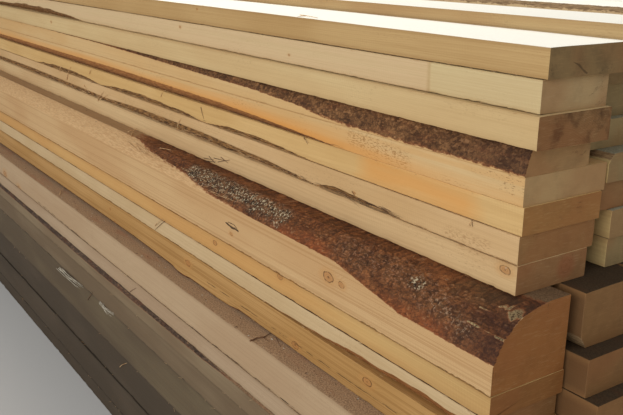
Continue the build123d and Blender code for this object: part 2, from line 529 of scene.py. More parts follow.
def wood_fields(tree, look):
    """What a wood's colours are worked out from: painted values, grain, knots and cracks."""
    position = add_node("ShaderNodeTexCoord", tree=tree)["Object"]
    place = add_node("ShaderNodeAttribute", tree=tree, attribute_name="log_place")["Vector"]
    normal = add_node("ShaderNodeNewGeometry", tree=tree)["True Normal"]
    swirl, gap = 0.0, 0.0
    knots = {"core": 0.0, "rim": 0.0, "halo": 0.0}
    for centre, radius in look.knots:
        one = knot(position=position, centre=centre, radius=radius)
        swirl = swirl + one["swirl"]
        knots = {key: math_of("MAXIMUM", value, one[key]) for key, value in knots.items()}
    for start, end, width in look.cracks:
        one = crack(position=position, start=start, end=end, width=width)
        gap = math_of("MAXIMUM", gap, one["open"])
    rings = growth_rings(place=place, ring_width=look.ring_width, waviness=0.03, swirl=swirl)
    return SimpleNamespace(
        **knots, position=position, gap=gap, facing=parts_of(normal), latewood=rings["latewood"],
        painted={key: add_node("ShaderNodeAttribute", tree=tree, attribute_name=key)["Fac"]
                 for key in PAINTED},
        fibre=fibres(place=place), marks=saw_marks(place=position, spacing=SAW_SPACING),
        ends=end_grain(place=place, normal=normal),
        speckle=noise(position, scale=300, roughness=0.7),
    )


def face_colour(look, wood):
    """A sawn face: its grain, saw marks and knots; its top whitened by a painted highlight of sun, or
    under sawdust, grime or painted shade.
    """
    fibre, marks, painted = wood.fibre, wood.marks, wood.painted
    body = mix(ramp(fibre["cloud"], 0.36, 0.64), look.pale, look.warm)
    if look.step:
        edge, beyond_edge = look.step
        here = parts_of(wood.position)["X"]
        beyond = drop(here + (fibre["mottle"] - 0.5) * 0.004, edge - 3 * MM, edge + 3 * MM)
        # A thin painted shade line just before the step.
        painted_shade_at_step = beyond * ramp(here, edge - 12 * MM, edge - 2 * MM)
        body = over(body, (beyond_edge, beyond, 1), (srgb(176, 146, 98), painted_shade_at_step, 0.6))
    upward = ramp(wood.facing["Z"], 0.5, 0.9)
    dust = over(mix(ramp(wood.speckle, 0.34, 0.66), *look.dust[:2]),
                (look.dust[2], ramp(fibre["mottle"], 0.48, 0.7), 0.5))
    return over(
        body,
        (srgb(168, 104, 56), painted["warmth"], 0.55),
        (look.warm, ramp(fibre["broad"], 0.4, 0.7), 0.35),
        (srgb(206, 146, 78), ramp(fibre["broad"], 0.46, 0.62), look.orange),
        (look.late, wood.latewood, look.rings),
        (look.late, ramp(fibre["fine"], 0.5, 0.8), 0.3),
        (look.late, ramp(fibre["lines"], 0.48, 0.62), look.lines),
        (look.late, drop(marks["ridges"], -0.6, 0.8), 0.09),
        (srgb(128, 88, 50), marks["dashes"], look.dashes),
        (srgb(146, 102, 58), marks["torn"] * painted["torn"], 1),
        # Painted shade on the sides of rows behind that face the near planks across the gap.
        (srgb(92, 62, 36), drop(wood.facing["Y"], -0.9, -0.6), look.inner_side),
        (ORANGE_INNER_BARK, painted["orange"], look.glow),
        (srgb(190, 138, 80), wood.halo, 0.4),
        (KNOT_WOOD, wood.core, 0.85),
        (KNOT_RIM, wood.rim, 0.85),
        # Painted highlight: upward faces turned nearly white as if in full sun.
        (srgb(250, 246, 232), upward, look.bleached),
        # Colours laid on upward faces: sawdust on some planks, painted shade on the rows behind and
        # the lower rows.
        (dust, upward, look.dusty),
        # On the bark beam's ledge and near top: grime and painted shade.
        (dust, painted["dirt"], 1),
    )


def end_colour(look, wood):
    """A sawn end: its rings, stains, scratches, knots and drying checks."""
    dark = look.end_dark or tuple(0.5 * level for level in look.end[:3]) + (1.0,)
    return over(
        look.end,
        (look.late, wood.latewood, 0.2),
        (dark, ramp(wood.fibre["mottle"], 0.42, 0.7), look.stains),
        (look.warm, ramp(wood.ends["scratches"], 0.5, 0.75), 0.25),
        (srgb(150, 88, 44), wood.painted["warmth"], 0.6),
        (srgb(150, 92, 52), ramp(wood.fibre["cloud"], 0.42, 0.62), 0.3),
        (CRACK, wood.ends["checks"], 0.6),
        (srgb(156, 84, 52), wood.halo, 0.4),
        (KNOT_RIM, wood.rim, 0.12),
    )


def under_skin(body, look, wood):
    """A colour under the log's skin: its wane, furry and brown, or barked in relief."""
    painted, position = wood.painted, wood.position
    furry = noise(stretched(position, 40, 420), detail=3, roughness=0.7)
    spotted = mix(ramp(wood.speckle, 0.42, 0.55), srgb(84, 70, 48), BARE_PATCH)
    bare = over(mix(ramp(furry, 0.38, 0.62), *look.wane_wood),
                (spotted, painted["bare"], 1), (srgb(62, 38, 24), painted["shade"], 0.6))
    ragged = (noise(stretched(position, 60, 160), detail=4, roughness=0.65) - 0.5) * 1.3
    dark, light = look.bark_colours
    coat = bark_coat(position=position, relief=painted["relief"], flecks=painted["flecks"],
                     olive=painted["warmth"], red=painted["red"], dark=dark, light=light)
    shaded = over(coat["color"], (srgb(54, 34, 28), painted["shade"], 0.6))
    patchy = ragged * 0.8 + painted["bark"]
    bark = ramp(patchy, 0.42, 0.56)
    rind = ramp(patchy, 0.3, 0.44) * drop(patchy, 0.5, 0.72)
    body = over(body, (bare, ramp(painted["wane"] + ragged, 0.4, 0.55), 1), (shaded, bark, 1),
                (srgb(140, 82, 48), rind, 0.5))
    return body, bark, coat["height"]


def sawn_wood(name, look):
    """Rough-sawn softwood: rings, fibres, saw marks, end grain, knots, cracks, wane and bark."""
    look = SimpleNamespace(**look)
    material = new_material(name)
    wood = wood_fields(material.node_tree, look)
    marks, painted = wood.marks, wood.painted
    body = mix(wood.ends["end"], face_colour(look, wood), end_colour(look, wood))
    body, bark, coat_height = under_skin(body, look, wood)
    damp = weathering_and_shade(position=wood.position, amount=look.damp)["mask"]
    # Grey-brown patches of grime and wet, more towards the ground and partly painted shade of the
    # lower rows.
    body = over(body, (DAMP_DIRT_AND_SHADE, damp, 1), (look.late, painted["arris"], 0.4),
                (CRACK, wood.gap, look.crack_strength))
    shade = painted["tone"] * (2 * look.spread) + (1 - look.spread)
    body = add_node("ShaderNodeHueSaturation", {"Value": shade, "Color": body})["Color"]

    height = marks["ridges"] * 0.12 + marks["fuzz"] * 0.6 + wood.fibre["fine"] * 0.5
    height = height - wood.ends["checks"] * 2.0 - wood.gap * 4.0
    height = add_node("ShaderNodeMix", {0: bark, 2: height, 3: coat_height * 2.2})[0]
    bump = add_node("ShaderNodeBump", {"Height": height, "Strength": 0.5, "Distance": 0.9 * MM})
    give_surface(material.node_tree, {
        "Base Color": body, "Roughness": ramp(bark, 0, 1, 0.84, 0.7),
        "Specular IOR Level": 0.22, "Normal": bump["Normal"]})
    return material


# Plank meshes
ARRIS = 1.1 * MM             # how far a square edge is worn back
SEAM = 1.3 * MM              # about half the gap that shows between two planks
SEAM_DEPTH = 22 * MM         # how far in from the side planks lie apart
EVEN = ((0, 1.0),)           # a seam of the usual width, from the near end on
TIGHT = ((0, 0.1),)
LOG_RADIUS = 110 * MM
END_STEP = 0.7 * MM          # the first ring of points lies this far in from an end
END_WEAR = 0.5 * MM          # how far the edges of an end are worn back


def solids_of(node):
    """Each solid of a CAD node, nearest first: its corners and the faces between them."""
    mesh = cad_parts[node].data
    places, first = {}, []
    for vertex in mesh.vertices:
        key = tuple(round(value, 6) for value in vertex.co)
        first.append(places.setdefault(key, len(places)))
    corners = [Vector(key) for key in places]
    leaders = list(range(len(corners)))

    def leader(index):
        while leaders[index] != index:
            leaders[index] = leaders[leaders[index]]
            index = leaders[index]
        return index

    faces = [[first[index] for index in polygon.vertices] for polygon in mesh.polygons]
    for face in faces:
        for index in face[1:]:
            leaders[leader(index)] = leader(face[0])
    solids = {}
    for face in faces:
        solids.setdefault(leader(face[0]), []).append(face)
    return sorted(((corners, own) for own in solids.values()),
                  key=lambda solid: min(corners[index].y for face in solid[1] for index in face))


def spaced(low, high, first_step, last_step):
    """Places from high down to low whose spacing grows evenly between the two steps."""
    length = high - low
    count = max(2, round(2 * length / (first_step + last_step)))
    share = np.linspace(0, 1, count + 1)
    bend = (last_step - first_step) / (last_step + first_step)
    inner = high - length * (share * (1 - bend) + share * share * bend)
    return np.concatenate([[high, high - END_STEP], inner[1:-1], [low + END_STEP, low]])


def section_outline(width, thickness, fine, reach, coarse, both_sides):
    """Points round a section: fine steps near the -Y side, and coarse ones further in."""
    near = np.arange(ARRIS * 2.5, reach, fine)
    last = reach if both_sides else ARRIS * 2.5
    middle_count = max(2, round((width - reach - last) / coarse) + 1)
    middle = np.linspace(reach, width - last, middle_count)
    far = width - near[::-1] if both_sides else []
    across = np.concatenate([[ARRIS], near, middle, far, [width - ARRIS]]) - width / 2
    up_count = max(3, round(thickness / fine))
    up_near = np.linspace(ARRIS, thickness - ARRIS, up_count) - thickness / 2
    up_far = up_near if both_sides else np.linspace(ARRIS, thickness - ARRIS, 4) - thickness / 2
    half_width, half_thickness = width / 2, thickness / 2
    points = [(y, -half_thickness, 0) for y in across]
    points += [(half_width, z, 1) for z in up_far]
    points += [(y, half_thickness, 2) for y in across[::-1]]
    points += [(-half_width, z, 3) for z in up_near[::-1]]
    return np.array(points)


def cast_to_solid(solid, stations, outline, middle, box):
    """The outline's points at each station, drawn in to the CAD solid where it has a wane."""
    surface = BVHTree.FromPolygons(*solid)
    low, high = box
    points = np.empty((len(stations), len(outline), 3))
    points[:, :, 0] = stations[:, None]
    points[:, :, 1] = middle[1] + outline[None, :, 0]
    points[:, :, 2] = middle[2] + outline[None, :, 1]
    depth = np.zeros(points.shape[:2])
    for row, station in enumerate(stations):
        inside = min(max(station, low[0] + 0.1 * MM), high[0] - 0.1 * MM)
        start = Vector((inside, middle[1], middle[2]))
        for column, (y, z, _) in enumerate(outline):
            reach = math.hypot(y, z)
            hit, _, _, distance = surface.ray_cast(start, Vector((0, y, z)), reach)
            if hit is not None and distance < reach - 0.2 * MM:
                points[row, column, 1:] = hit[1:]
                depth[row, column] = reach - distance
    return points, depth


def faces_of_rings(rounds, count):
    """Quads between successive rings of points."""
    rows = np.arange(rounds - 1)[:, None] * count
    columns = np.arange(count)[None, :]
    following = (columns + 1) % count
    quads = np.stack([rows + columns, rows + following,
                      rows + count + following, rows + count + columns], axis=-1)
    return quads.reshape(-1, 4).tolist()


def round_off(points, values, low, high, heights, lean=0.75):
    """Round off a plank's lower arris like a wane, from the height on its side in the table."""
    rise = np.interp(high[0] - points[:, 0], *zip(*heights)) * MM
    rise *= 1 + 0.15 * soft_noise(points, (0.06, 9, 9), 91)
    slope = math.hypot(1, lean)
    inward = np.sqrt(LOG_RADIUS ** 2 - (rise * slope / 2) ** 2) / slope
    across = points[:, 1] - low[1] - (rise * lean / 2 + inward)
    up = points[:, 2] - low[2] - (rise / 2 + inward * lean)
    apart = np.hypot(across, up)
    near_arris = (rise > 0.8 * MM) & (across < 0) & (up < 0)
    bite = np.where(near_arris, np.clip(apart - LOG_RADIUS, 0, None), 0)
    points[:, 1] -= across / apart * bite
    points[:, 2] -= up / apart * bite
    values["wane"] = np.maximum(values["wane"], np.clip(bite / (0.9 * MM), 0, 1))


def settle_faces(points, face, sawn, box, seams, seed, both_sides):
    """Let faces wander a little, and lay planks slightly apart at their sides."""
    low, high = box
    from_side = points[:, 1] - low[1]
    if both_sides:
        from_side = np.minimum(from_side, high[1] - points[:, 1])
    seam = 0.75 + 0.5 * soft_noise(points, (0.35, 9, 9), seed)
    seam += 0.35 * soft_noise(points, (0.05, 9, 9), seed + 3)
    seam = np.clip(seam, 0.1, 1.6) * SEAM * np.exp(-np.maximum(from_side, 0) / SEAM_DEPTH)
    lower, upper = [np.interp(high[0] - points[:, 0], *zip(*table)) for table in seams]
    points[:, 2] += np.where(sawn & (face == 0), seam * lower, 0)
    points[:, 2] -= np.where(sawn & (face == 2), seam * upper, 0)
    wander = np.abs(soft_noise(points, (0.6, 0.3, 0.3), seed + 6)) * 0.8 * MM
    upright = np.isin(face, (1, 3)) & sawn
    side = np.sign(points[:, 1] - (low[1] + high[1]) / 2)
    points[:, 1] -= np.where(upright, side * wander, 0)


def bark_relief(points, on_bark, swell, fur, seed):
    """How high the bark's scales and flakes stand, from 0 to 1."""
    relief = np.zeros(len(points))
    if on_bark.any():
        inside, value = scales(points[on_bark], (0.012, 0.0075, 0.0075), seed + 5)
        flake, flake_value = scales(points[on_bark], (0.0055, 0.004, 0.004), seed + 15)
        relief[on_bark] = 0.45 * inside * (0.5 + value) + 0.35 * flake * (0.4 + flake_value)
        relief = np.clip(relief + 0.16 * swell + 0.12 * fur, 0, 1)
    return relief


def close_ends(points, outwards, values, count, middle, rind):
    """Add the sawn ends, worn at their edges, with bark as a thin rind round the wood."""
    total = len(points)
    caps, cap_values = [], {key: [] for key in values}
    polygons = faces_of_rings(total // count, count)
    for ring, is_far in ((slice(0, count), False), (slice(total - count, total), True)):
        points[ring] -= outwards[ring] * END_WEAR
        base = total + sum(len(part) for part in caps)
        centre = np.array([[points[ring][0, 0], middle[1], middle[2]]])
        caps += [points[ring], points[ring] - outwards[ring] * rind, centre]
        for key, own in values.items():
            kept = own[ring] if key in ("bark", "relief", "wane") else np.zeros(count)
            cap_values[key] += [kept, np.zeros(count + 1)]
        for column in range(count):
            here, following = base + column, base + (column + 1) % count
            strip = [here, here + count, following + count, following]
            fan = [here + count, base + 2 * count, following + count]
            polygons += [strip, fan] if is_far else [strip[::-1], fan[::-1]]
    values = {key: np.concatenate([own, *cap_values[key]]) for key, own in values.items()}
    return np.concatenate([points, *caps]), polygons, values


def plank_surface(solid, seed, along, fine, reach=25 * MM, coarse=24 * MM, both_sides=False,
                  bark_until=0.0, bark_thickness=0.8 * MM, wane_fur=0.9 * MM, chips=2.0 * MM,
                  seams=(EVEN, EVEN), rounded=None, paint=None):
    """One plank as a fine grid: arrises torn by the saw, faces a little uneven, bark in relief.

    Returns its points, its faces, and the values painted on its points.
    """
    corners, faces = solid
    box_points = np.array([corners[index] for index in {i for face in faces for i in face}])
    low, high = box_points.min(0), box_points.max(0)
    middle = (low + high) / 2
    width, thickness = high[1] - low[1], high[2] - low[2]
    outline = section_outline(width, thickness, fine, min(reach, width / 3), coarse, both_sides)
    grid, depth = cast_to_solid(solid, spaced(low[0], high[0], *along), outline, middle, (low, high))
    rounds, count = depth.shape
    points, depth = grid.reshape(-1, 3), depth.reshape(-1)
    outwards = np.zeros_like(points)
    outwards[:, 1:] = points[:, 1:] - middle[1:]
    outwards /= np.linalg.norm(outwards, axis=1)[:, None]
    sawn = depth < 0.5 * MM
    settle_faces(points, np.tile(outline[:, 2], rounds), sawn, (low, high), seams, seed, both_sides)

    # Arrises torn by the saw
    at_corner = np.tile((width / 2 - np.abs(outline[:, 0]) < 1.5 * ARRIS)
                        & (thickness / 2 - np.abs(outline[:, 1]) < 1.5 * ARRIS), rounds)
    torn = np.clip(0.6 * soft_noise(points, (0.03, 9, 9), seed + 1)
                   + 0.6 * soft_noise(points, (0.007, 9, 9), seed + 2), 0, 1)
    arris = at_corner * sawn
    points -= outwards * (arris * chips * torn)[:, None]

    # Wane and bark
    wane = np.clip(depth / (1.6 * MM), 0, 1)
    drift = 0.15 * soft_noise(points, (0.12, 0.03, 0.03), seed + 9)
    left = np.clip((bark_until - high[0] + points[:, 0]) / 0.5 + 0.5 + drift, 0, 1)
    values = {key: np.zeros(len(points)) for key in PAINTED}
    values.update(arris=arris.astype(float), wane=wane, bark=wane * left * (bark_until > 0))
    if rounded:
        round_off(points, values, low, high, rounded)
    if paint:
        paint(points, outwards, values)
    wane, bark = values["wane"], values["bark"]
    swell = soft_noise(points, (0.11, 0.04, 0.04), seed + 8)
    fur = soft_noise(points, (0.012, 0.005, 0.005), seed + 10)
    relief = values["relief"] = bark_relief(points, bark > 0, swell, fur, seed)
    points += outwards * (bark * bark_thickness * (relief - 0.8))[:, None]
    rough = (wane - bark * 0.6) * (0.5 + 0.5 * swell + 0.35 * fur) * wane_fur
    points -= outwards * rough[:, None]
    return close_ends(points, outwards, values, count, middle, max(2.2 * MM, 1.2 * bark_thickness))


def merged(parts):
    """The points and faces of several meshes as one mesh's."""
    points, polygons, start = [], [], 0
    for own_points, own_polygons in parts:
        polygons += [[index + start for index in polygon] for polygon in own_polygons]
        points.append(own_points)
        start += len(own_points)
    return np.concatenate(points), polygons


def link_mesh(name, parts, values, material):
    """A piece from the points and faces of its parts, with values painted on its points."""
    points, polygons = merged(parts)
    mesh = bpy.data.meshes.new(name)
    mesh.from_pydata(points.tolist(), [], polygons)
    for key, value in values.items():
        kind, field = ("FLOAT_VECTOR", "vector") if value.ndim == 2 else ("FLOAT", "value")
        layer = mesh.attributes.new(key, kind, "POINT")
        layer.data.foreach_set(field, value.astype(np.float32).ravel())
    mesh.shade_smooth()
    mesh.set_sharp_from_angle(angle=math.radians(28))
    mesh.materials.append(material)
    piece = bpy.data.objects.new(name, mesh)
    bpy.context.scene.collection.objects.link(piece)
    return piece


def planks_mesh(name, solids, material, row_seed, tones=(), **settings):
    """Several planks joined in one mesh, with the values that their material reads."""
    parts, all_values = [], {}
    for number, solid in enumerate(solids):
        seed = row_seed * 100 + number
        chance = random.Random(seed)
        points, polygons, values = plank_surface(solid, seed, **settings)
        low, high = points.min(0), points.max(0)
        pith = np.array([
            low[0] - chance.uniform(0, 40),
            chance.uniform(low[1] - 0.05, high[1] + 0.05),
            low[2] + chance.choice((-1, 1)) * chance.uniform(0.02, 0.12),
        ])
        tone, warmth = tones[number] if number < len(tones) else (chance.random(), 0.0)
        values["log_place"] = points - pith
        values["tone"] = np.full(len(points), tone)
        values["warmth"] = np.maximum(values["warmth"], warmth)
        parts.append((points, polygons))
        for key, value in values.items():
            all_values.setdefault(key, []).append(value)
    every_value = {key: np.concatenate(own) for key, own in all_values.items()}
    return link_mesh(name, parts, every_value, material)


def stand_for(piece, node):
    """Put a piece in the place of a CAD node."""
    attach(piece, "root")
    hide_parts(node)


# What the photograph shows on single planks, placed by its pixels
def knots_on(node, *pixels_and_radii, find=on_side_of):
    """Knots on a plank, each a pixel and a radius in millimetres."""
    return [(find(node, pixel), radius * MM) for pixel, radius in pixels_and_radii]


def crack_on(node, pixels, width, find=on_side_of):
    """A crack on a plank through these pixels, that many millimetres wide."""
    places = [find(node, pixel) for pixel in pixels]
    return [(start, finish, width * MM) for start, finish in zip(places[:-1], places[1:])]


END_CRACK_01 = (574, 62), (580, 66), (587, 73)
DOTS_01 = ((197, 9), 2.5), ((76, 6), 3)
DOTS_02 = ((180, 27), 3), ((289, 55), 2)
STEP_IN_02 = (430, 76)
DOT_03 = ((51, 22), 4)
DOT_07 = ((354, 193), 2.5)
CORNER_KNOT_08, END_KNOT_08 = ((505, 270), 7), ((566, 266), 12)
KNOTS_09 = ((328, 277), 10), ((341, 285), 6), ((231, 234), 4)
SPLIT_09 = (225, 222), (231, 227), (238, 231)
UPPER_SPLIT_09 = (228, 222), (234, 225), (237, 229)
WANE_LINE_09 = (60, 119), (96, 138), (123, 152), (160, 171), (200, 191), (246, 212)
KNOTS_10 = ((215, 243), 6), ((280, 277), 6)
KNOTS_12 = ((367, 382), 8), ((188, 263), 8), ((295, 345), 8), ((110, 209), 4), ((115, 222), 4)
LONG_CRACK_12 = (207, 282), (250, 312), (300, 347), (350, 382), (396, 413)
KNOTS_13 = ((5, 174), 12), ((19, 189), 12)
HAIRLINE_13 = (38, 202), (100, 254), (163, 305), (200, 334), (250, 374), (297, 411)

SMOOTH_BROWN = srgb(124, 78, 40), srgb(166, 112, 62)
RAGGED_WANE = srgb(62, 40, 22), srgb(172, 128, 78)
PALE_SKIN = srgb(190, 150, 104), srgb(210, 174, 128)
FADED_WANE = srgb(118, 94, 66), srgb(158, 130, 94)
PINKISH_BARK = srgb(84, 54, 30), srgb(146, 103, 64)
RED_BARK = srgb(84, 42, 28), srgb(132, 78, 54)
GREY_BARK = srgb(62, 47, 36), srgb(106, 84, 66)
# Grime and painted shade on the bark beam's ledge under the upper package
LEDGE_GRIME_AND_SHADE = srgb(76, 58, 42), srgb(120, 94, 68), srgb(92, 64, 44)
# Dark painted shade on plank_11's top, where it shows in the gap under plank_10
GAP_SHADE_BROWNS = srgb(64, 40, 22), srgb(90, 58, 32), srgb(70, 40, 20)
# Grime, wet and painted shade on the tops of the lowest rows
EARTHY_DUST_AND_SHADE = srgb(60, 50, 40), srgb(84, 72, 58), srgb(76, 58, 44)
DAMP_DUST_AND_SHADE = srgb(50, 42, 34), srgb(70, 60, 49), srgb(64, 50, 38)
# Grey-green painted shade on the tops of the upper rows behind
GREEN_GREY_SHADE = srgb(112, 116, 104), srgb(146, 148, 132), srgb(130, 128, 108)
# Dark painted shade on the tops of the middle rows behind
DARK_INNER_SHADE = srgb(50, 38, 25), srgb(70, 55, 37), srgb(72, 45, 26)

# Each look starts with its pale and warm wood, its late wood and its sawn end
LOOKS = {
    "plank_01": look_of(
        (194, 162, 112), (182, 148, 98), (150, 112, 66), (138, 112, 74), bleached=0.95, stains=0.5,
        cracks=crack_on("plank_01", END_CRACK_01, 1.8, on_end_of), crack_strength=0.5,
        knots=knots_on("plank_01", *DOTS_01)),
    "plank_02": look_of(
        (210, 192, 146), (204, 182, 138), (176, 146, 100), (184, 154, 110),
        knots=knots_on("plank_02", *DOTS_02),
        step=(on_side_of("plank_02", STEP_IN_02).x, srgb(208, 180, 140))),
    "plank_03": look_of(
        (208, 182, 134), (202, 172, 124), (172, 138, 92), (138, 100, 62), stains=0.85,
        end_dark=srgb(66, 42, 22), knots=knots_on("plank_03", DOT_03)),
    "plank_04": look_of(
        (210, 178, 128), (206, 168, 114), (174, 132, 86), (168, 132, 88),
        bark_colours=PINKISH_BARK),
    "plank_05": look_of(
        (210, 180, 132), (206, 172, 120), (184, 140, 86), (184, 150, 104), orange=0.25, glow=0.9,
        dashes=0.7, wane_wood=SMOOTH_BROWN),
    "plank_06": look_of(
        (213, 178, 122), (205, 168, 110), (170, 126, 72), (164, 116, 66), glow=0.75,
        wane_wood=RAGGED_WANE),
    "plank_07": look_of(
        (210, 176, 130), (200, 164, 116), (168, 130, 86), (154, 112, 68), dashes=0.5,
        wane_wood=RAGGED_WANE, knots=knots_on("plank_07", DOT_07)),
    "plank_08": look_of(
        (214, 184, 138), (206, 172, 126), (166, 128, 84), (152, 110, 70), dashes=0.4,
        knots=knots_on("plank_08", CORNER_KNOT_08)
        + knots_on("plank_08", END_KNOT_08, find=on_end_of)),
    "bark_beam_09": look_of(
        (206, 172, 126), (196, 158, 112), (166, 124, 78), (152, 98, 50), rings=0.3,
        ring_width=2.6 * MM, lines=0.4, wane_wood=PALE_SKIN, dust=LEDGE_GRIME_AND_SHADE,
        knots=knots_on("bark_beam_09", *KNOTS_09),
        cracks=crack_on("bark_beam_09", SPLIT_09, 3.4)
        + crack_on("bark_beam_09", UPPER_SPLIT_09, 1.4)
        + crack_on("bark_beam_09", WANE_LINE_09, 0.8)),
    "plank_10": look_of(
        (200, 168, 112), (190, 152, 98), (158, 116, 68), (140, 92, 48), glow=0.28,
        knots=knots_on("plank_10", *KNOTS_10)),
    # plank_11's top shows in the widened gap under plank_10 and is painted dark as shade there.
    "plank_11": look_of(
        (202, 176, 136), (192, 164, 122), (164, 132, 92), (136, 96, 56), wane_wood=SMOOTH_BROWN,
        dusty=1.0, dust=GAP_SHADE_BROWNS),
    "plank_12": look_of(
        (188, 148, 94), (178, 137, 82), (146, 104, 54), (132, 92, 52), rings=0.25, lines=0.5,
        bark_colours=RED_BARK, knots=knots_on("plank_12", *KNOTS_12),
        cracks=crack_on("plank_12", LONG_CRACK_12, 1.3), crack_strength=0.6),
    # From beam_13 down the colours grow greyer and darker: partly the wood's grime and wet, partly
    # painted shade of the lower rows.
    "beam_13": look_of(
        (184, 158, 126), (176, 148, 116), (140, 112, 82), (126, 96, 62), dusty=0.9,
        knots=knots_on("beam_13", *KNOTS_13), cracks=crack_on("beam_13", HAIRLINE_13, 1.3)),
    "plank_14": look_of(
        (178, 154, 126), (168, 142, 114), (132, 108, 80), (120, 92, 60), dusty=0.9),
    "plank_15": look_of(
        (136, 118, 92), (122, 102, 78), (94, 76, 56), (112, 86, 58), dusty=0.9,
        bark_colours=GREY_BARK),
    "plank_16": look_of(
        (126, 108, 84), (110, 92, 70), (86, 70, 53), (100, 78, 54), dusty=0.8),
    "beam_17": look_of(
        (106, 92, 70), (92, 78, 60), (74, 62, 48), (88, 70, 50), dusty=0.8, dust=EARTHY_DUST_AND_SHADE),
}
# Rows below the listed looks: dark, partly wet and grime, partly painted shade.
DAMP_AND_SHADED_LOOK = look_of((84, 72, 58), (74, 63, 50), (60, 50, 40), (78, 64, 48), dusty=0.9,
                    dust=DAMP_DUST_AND_SHADE)
BEHIND_LOOKS = {
    "top": look_of(
        (200, 172, 124), (186, 152, 106), (156, 120, 78), (150, 128, 88), bleached=0.95,
        spread=0.16, wane_wood=FADED_WANE),
    # Tops of the upper rows behind: painted grey-green shade.
    "upper": look_of(
        (202, 180, 126), (190, 162, 110), (156, 120, 78), (150, 128, 88), dusty=0.8,
        spread=0.16, wane_wood=FADED_WANE, dust=GREEN_GREY_SHADE),
    # Middle rows behind: their tops painted with dark shade, as under the upper package.
    "middle": look_of(
        (196, 160, 112), (182, 142, 94), (152, 112, 70), (136, 104, 64), dusty=0.98,
        # Sides facing the near planks across the gap get painted shade too.
        spread=0.14, wane_wood=FADED_WANE, inner_side=0.85, dust=DARK_INNER_SHADE),
    # Lower rows behind: darker, partly painted shade.
    "lower": look_of(
        (160, 136, 108), (142, 118, 92), (112, 90, 68), (108, 84, 58), dusty=0.8, spread=0.14),
}

RIDGES_09 = ((468, 321), (486, 331), (504, 341)), ((480, 307), (492, 312))
BARE_PATCH_09 = (507, 304), (518, 308), (515, 316)
OLIVE_STRETCH_09 = (470, 284), (520, 305)
RED_STRETCH_09 = (275, 228), (318, 250), (345, 285), (372, 303), (402, 316), (440, 336)
FLECKS_09 = (
    (((414, 281), (421, 284)), 26, 1.0),
    (((435, 305), (462, 328)), 38, 0.55),
    (((345, 246), (400, 272), (440, 305), (466, 328)), 48, 0.4),
    (((192, 170), (225, 186), (255, 201), (282, 216)), 42, 1.0),
)
LEDGE_09 = 95 * MM           # width of the beam's top that stands out under the upper package
LEDGE_LEVEL_09 = 3 * MM      # how far below its highest point the top still counts as ledge
END_OF_LEDGE_09 = 70 * MM    # the ledge's bark starts this far from the near end
FULL_BARK_09 = 0.75          # metres of bark on all of the beam's wane
TOP_BARK_09 = 1.5            # metres of bark along the top of its wane
DARK_BARK_09 = 0.14          # metres of darker bark at the near end
TORN_PLACES = {
    "plank_05": (((352, 138), (405, 160)), 22 * MM, 0.8),
    "plank_07": (((448, 232), (486, 246)), 16 * MM, 0.45),
    "plank_08": (((462, 244), (500, 258)), 16 * MM, 0.4),
}
ORANGE_PATH_06 = (372, 168), (400, 181), (430, 192), (462, 205)
# Distances from the near end in metres, and millimetres that an edge stands out or is rounded
FLARE_12 = ((0.75, 0), (0.85, 3), (0.89, 6), (1.06, 7), (1.09, 13), (1.13, 13), (1.17, 7),
            (1.33, 3), (1.45, 0))
ROUNDED = {
    "plank_02": ((1.95, 0), (2.2, 17), (2.45, 24), (2.75, 22), (3.1, 14), (4.0, 12)),
    "plank_06": ((0.56, 0), (0.62, 3), (0.8, 13), (0.98, 10), (1.08, 0), (1.2, 9), (1.45, 16),
                 (1.7, 12), (1.83, 0), (1.96, 9), (2.2, 17), (2.45, 9), (2.56, 0)),
    "plank_07": ((0.27, 0), (0.33, 5), (0.38, 9), (0.44, 13), (0.5, 15), (0.54, 10), (0.57, 3),
                 (0.6, 0)),
    "plank_11": ((0, 24), (0.13, 23), (0.23, 25), (0.28, 19), (0.35, 17), (0.39, 14), (0.5, 8),
                 (0.65, 4), (0.8, 0)),
}


